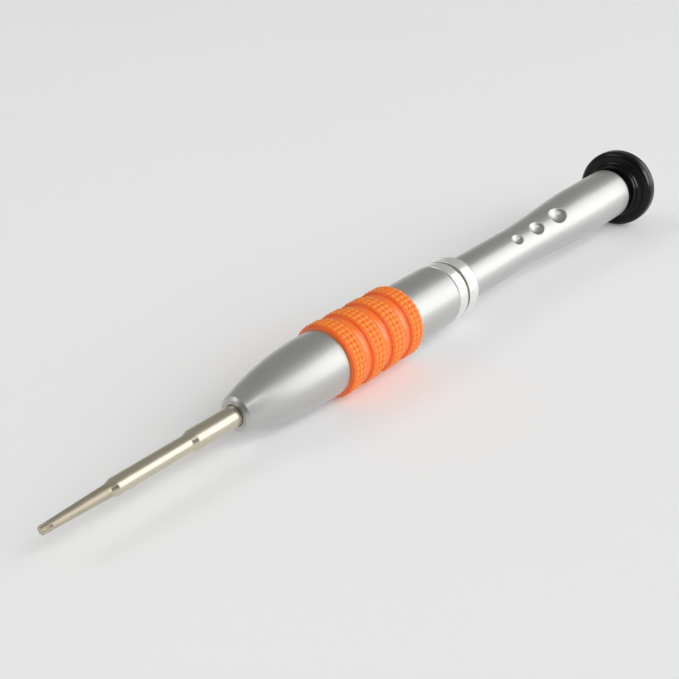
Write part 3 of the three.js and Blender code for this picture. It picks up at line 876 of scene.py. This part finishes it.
def cap_bush():
    """Bush with a flange against the handle's end."""
    bore = STEM_RADIUS + RUNNING_GAP
    flange_front = REAR_BARREL.rear + SEAT_GAP
    profile = outline(
        (BUSH.front, bore, FINE_EDGE),
        (BUSH.front, BUSH_RADIUS, 2 * FINE_EDGE),
        (flange_front, BUSH_RADIUS, 0),
        (flange_front, BUSH.radius, FINE_EDGE),
        (BUSH.rear, BUSH.radius, 2 * FINE_EDGE),
        (BUSH.rear, bore, FINE_EDGE),
    )
    dress(skin("flanged_bush", profile), "cap_bush", "turned_brass")


def washer(name, node, span, bore, finish):
    """Flat ring with eased edges."""
    profile = outline(
        (span.front, bore, FINE_EDGE),
        (span.front, span.radius, FINE_EDGE),
        (span.rear, span.radius, FINE_EDGE),
        (span.rear, bore, FINE_EDGE),
    )
    dress(skin(name, profile, FINE_COLUMNS), node, finish)


def pivot_stem():
    """Stem with a groove for the snap ring and a head in the cap."""
    groove = STEM_RADIUS - STEM_GROOVE_DEPTH
    head_front = STEM.rear - STEM_HEAD_THICKNESS
    profile = outline(
        (STEM.front, 0, 0),
        (STEM.front, STEM_RADIUS, 3 * FINE_EDGE),
        (CLIP.front - SEAT_GAP, STEM_RADIUS, FINE_EDGE),
        (CLIP.front - SEAT_GAP, groove, FINE_EDGE),
        (CLIP.rear + SEAT_GAP, groove, FINE_EDGE),
        (CLIP.rear + SEAT_GAP, STEM_RADIUS, FINE_EDGE),
        (head_front, STEM_RADIUS, 0),
        (head_front, STEM.radius, FINE_EDGE),
        (STEM.rear, STEM.radius, 2 * FINE_EDGE),
        (STEM.rear, 0, 0),
    )
    dress(skin("shouldered_stem", profile, FINE_COLUMNS), "pivot_stem", "zinc_steel")


def swivel_cap():
    """Hub with a rounded edge, a cove on a quarter ellipse and a well rounded rim, with a stepped bore."""
    rim = CAP.radius * CAP_REACH
    face = CAP.front + CAP_HUB_LENGTH + CAP_COVE_LENGTH
    sweep = np.linspace(0, math.pi / 2, COVE_STEPS)
    cove = (
        CAP.front + CAP_HUB_LENGTH + CAP_COVE_LENGTH * np.sin(sweep),
        CAP_HUB_RADIUS + (CAP_COVE_RADIUS - CAP_HUB_RADIUS) * (1 - np.cos(sweep)),
    )
    plug_bore = PLUG.radius + FIT_GAP
    head_bore = STEM.radius + FIT_GAP
    stem_bore = STEM_RADIUS + FIT_GAP
    plug_seat = PLUG.front - SEAT_GAP
    head_seat = STEM.rear - STEM_HEAD_THICKNESS - SEAT_GAP
    profile = outline(
        (CAP.front, stem_bore, FINE_EDGE),
        (CAP.front, CAP_HUB_RADIUS, CAP_HUB_EDGE_RADIUS),
        cove,
        (face, rim, CAP_FRONT_RADIUS),
        (CAP.rear, rim, CAP_END_RADIUS),
        (CAP.rear, plug_bore, FINE_EDGE),
        (plug_seat, plug_bore, 0),
        (plug_seat, head_bore, 0),
        (head_seat, head_bore, 0),
        (head_seat, stem_bore, 0),
    )
    dress(skin("mushroom_cap", profile, 2 * COLUMNS), "swivel_cap", "black_cap")


def cap_plug():
    """Disc that ends flush with the cap."""
    profile = outline(
        (PLUG.front, 0, 0),
        (PLUG.front, PLUG.radius, FINE_EDGE),
        (PLUG.rear, PLUG.radius, 2 * FINE_EDGE),
        (PLUG.rear, PLUG.radius / 2, 0),
        (PLUG.rear, 0, 0),
    )
    dress(skin("end_plug", profile), "cap_plug", "black_plug")


def carried_over(node, finish):
    """A CAD node that keeps its own shape and gets its finish."""
    shown = frame["nodes"][node]
    shown.data.materials.clear()
    shown.data.materials.append(FINISHES[finish])


blade()
tang_sleeve()
front_barrel()
grip_sleeve()
collar_ring()
joint_stud()
rear_barrel()
cap_bush()
washer("nylon_washer", "thrust_washer", THRUST_WASHER, STEM_RADIUS + RUNNING_GAP, "white_nylon")
swivel_cap()
cap_plug()
pivot_stem()
washer("zinc_washer", "stem_washer", STEM_WASHER, STEM_RADIUS + FIT_GAP, "zinc_steel")
carried_over("stem_clip", "zinc_steel")


def pale_floor():
    """Large flat sheet under the tool, with a faint paper grain, which fades into the room far from it."""
    side = np.linspace(-FLOOR_REACH, FLOOR_REACH, FLOOR_POINTS)
    x, y = np.meshgrid(side, side, indexing="ij")
    points = np.stack([x, y, np.zeros_like(x)], axis=-1).reshape(-1, 3)
    here = np.arange(x.size).reshape(x.shape)
    quads = np.stack([here[:-1, :-1], here[1:, :-1], here[1:, 1:], here[:-1, 1:]], axis=-1)
    floor = mesh_object("pale_floor", points, quads.reshape(-1, 4).tolist())

    def draw(tool):
        cloud = noise(tool, 0.01, 2.0)
        grain = noise(tool, 2.0, 3.0)
        paths = ("Is Camera Ray", "Is Glossy Ray", "Is Transmission Ray")
        seen = sum(tool.node("LightPath", {}, output=path) for path in paths)
        distance = tool.node("VectorMath", {0: tool}, output="Value", operation="LENGTH")
        return {
            "Base Color": blend(cloud, (0.81, 0.81, 0.82, 1.0), (0.83, 0.83, 0.84, 1.0)),
            "Emission Color": blend(seen, (0.0, 0.0, 0.0, 1.0), (0.10, 0.10, 0.10, 1.0)),
            "Emission Strength": 1.0,
            "Alpha": 1 - ramp(distance, FLOOR_FADE_START / MM, FLOOR_FADE_END / MM),
            "Roughness": 0.85,
            "Specular IOR Level": 0.2,
            "Normal": bump(grain, 0.01 * MM),
        }

    floor.data.materials.append(material("pale_floor", draw))


def place_in_scene(holder, place, right, back):
    """Puts a lamp or camera at a place, with its local X to the right and its local Z backwards."""
    up = np.cross(back, right)
    matrix = np.eye(4)
    matrix[:3] = np.column_stack([right, up, back, place])
    holder.matrix_world = Matrix(matrix.tolist())


def softbox(name, place, width, height, radiance, mirrored=True, only=()):
    """Area lamp that faces the tool, with a power of pi * area * radiance.

    Glossy surfaces may or may not mirror it. It lights everything, or only the pieces that are named.
    """
    lamp = bpy.data.lights.new(name, "AREA")
    lamp.shape = "RECTANGLE"
    lamp.size = width
    lamp.size_y = height
    lamp.energy = math.pi * width * height * radiance
    holder = bpy.data.objects.new(name, lamp)
    holder.visible_camera = False
    holder.visible_glossy = mirrored
    bpy.context.scene.collection.objects.link(holder)
    if only:
        lit = bpy.data.collections.new(name)
        for piece in only:
            lit.objects.link(bpy.data.objects[piece])
        holder.light_linking.receiver_collection = lit
    back = np.array(place) / np.linalg.norm(place)
    right = np.cross([0.0, 0.0, 1.0], back)
    right = right / np.linalg.norm(right)
    place_in_scene(holder, place, right, back)


def studio_light():
    """Dim room, darker behind the camera and paler low down, with four softboxes and one more for the cap."""
    world = bpy.data.worlds.new("studio")
    bpy.context.scene.world = world
    world.use_nodes = True
    world.node_tree.nodes.clear()
    direction = Wire(world.node_tree).node("TexCoord", {}, output="Generated")

    def towards(*aim):
        return direction.node("VectorMath", {0: direction, 1: aim}, output="Value", operation="DOT_PRODUCT")

    above = ramp(towards(0.0, 0.0, 1.0), 0.0, 0.3)
    room = blend(above, (0.70, 0.70, 0.69, 1.0), (0.335, 0.335, 0.315, 1.0))
    shaded = blend(above * ramp(towards(-0.72, -0.68, 0.10), 0.2, 0.75), room, (0.10, 0.10, 0.10, 1.0))
    background = shaded.node("Background", {"Color": shaded, "Strength": 1.0})
    room.node("OutputWorld", {"Surface": background})
    softbox("window_softbox", (2.46, -2.22, 1.34), width=4.05, height=2.82, radiance=1.75)
    softbox("front_softbox", (-1.20, -2.70, 2.25), width=4.50, height=3.30, radiance=1.8, mirrored=False)
    softbox("back_softbox", (-1.95, 2.16, 2.64), width=1.80, height=1.35, radiance=2.6)
    softbox("small_softbox", (0.21, -2.40, 3.00), width=0.90, height=0.90, radiance=4.0)
    softbox("cap_softbox", (-0.15, -2.70, 1.30), width=2.20, height=1.80, radiance=9.0, only=["mushroom_cap"])


def photo_camera():
    """Camera at the photograph's viewing angle. Its focal length is worked out from one in picture pixels."""
    holder = bpy.data.objects.new("camera", bpy.data.cameras.new("camera"))
    bpy.context.scene.collection.objects.link(holder)
    holder.data.sensor_width = SENSOR_WIDTH
    holder.data.lens = FOCAL_PIXELS / PICTURE_PIXELS * SENSOR_WIDTH
    holder.data.clip_start = 0.01
    azimuth, elevation = CAMERA_AZIMUTH, CAMERA_ELEVATION
    right = np.array([math.cos(azimuth), math.sin(azimuth), 0.0])
    level = np.array([math.sin(azimuth), -math.cos(azimuth), 0.0])
    back = level * math.cos(elevation) + np.array([0.0, 0.0, math.sin(elevation)])
    from_tool = np.column_stack([AXIS, -NEAR, UP])
    place_in_scene(holder, TIP + from_tool @ CAMERA_PLACE, from_tool @ right, from_tool @ back)
    bpy.context.scene.camera = holder


pale_floor()
studio_light()
photo_camera()
bpy.context.scene.view_settings.view_transform = "Standard"
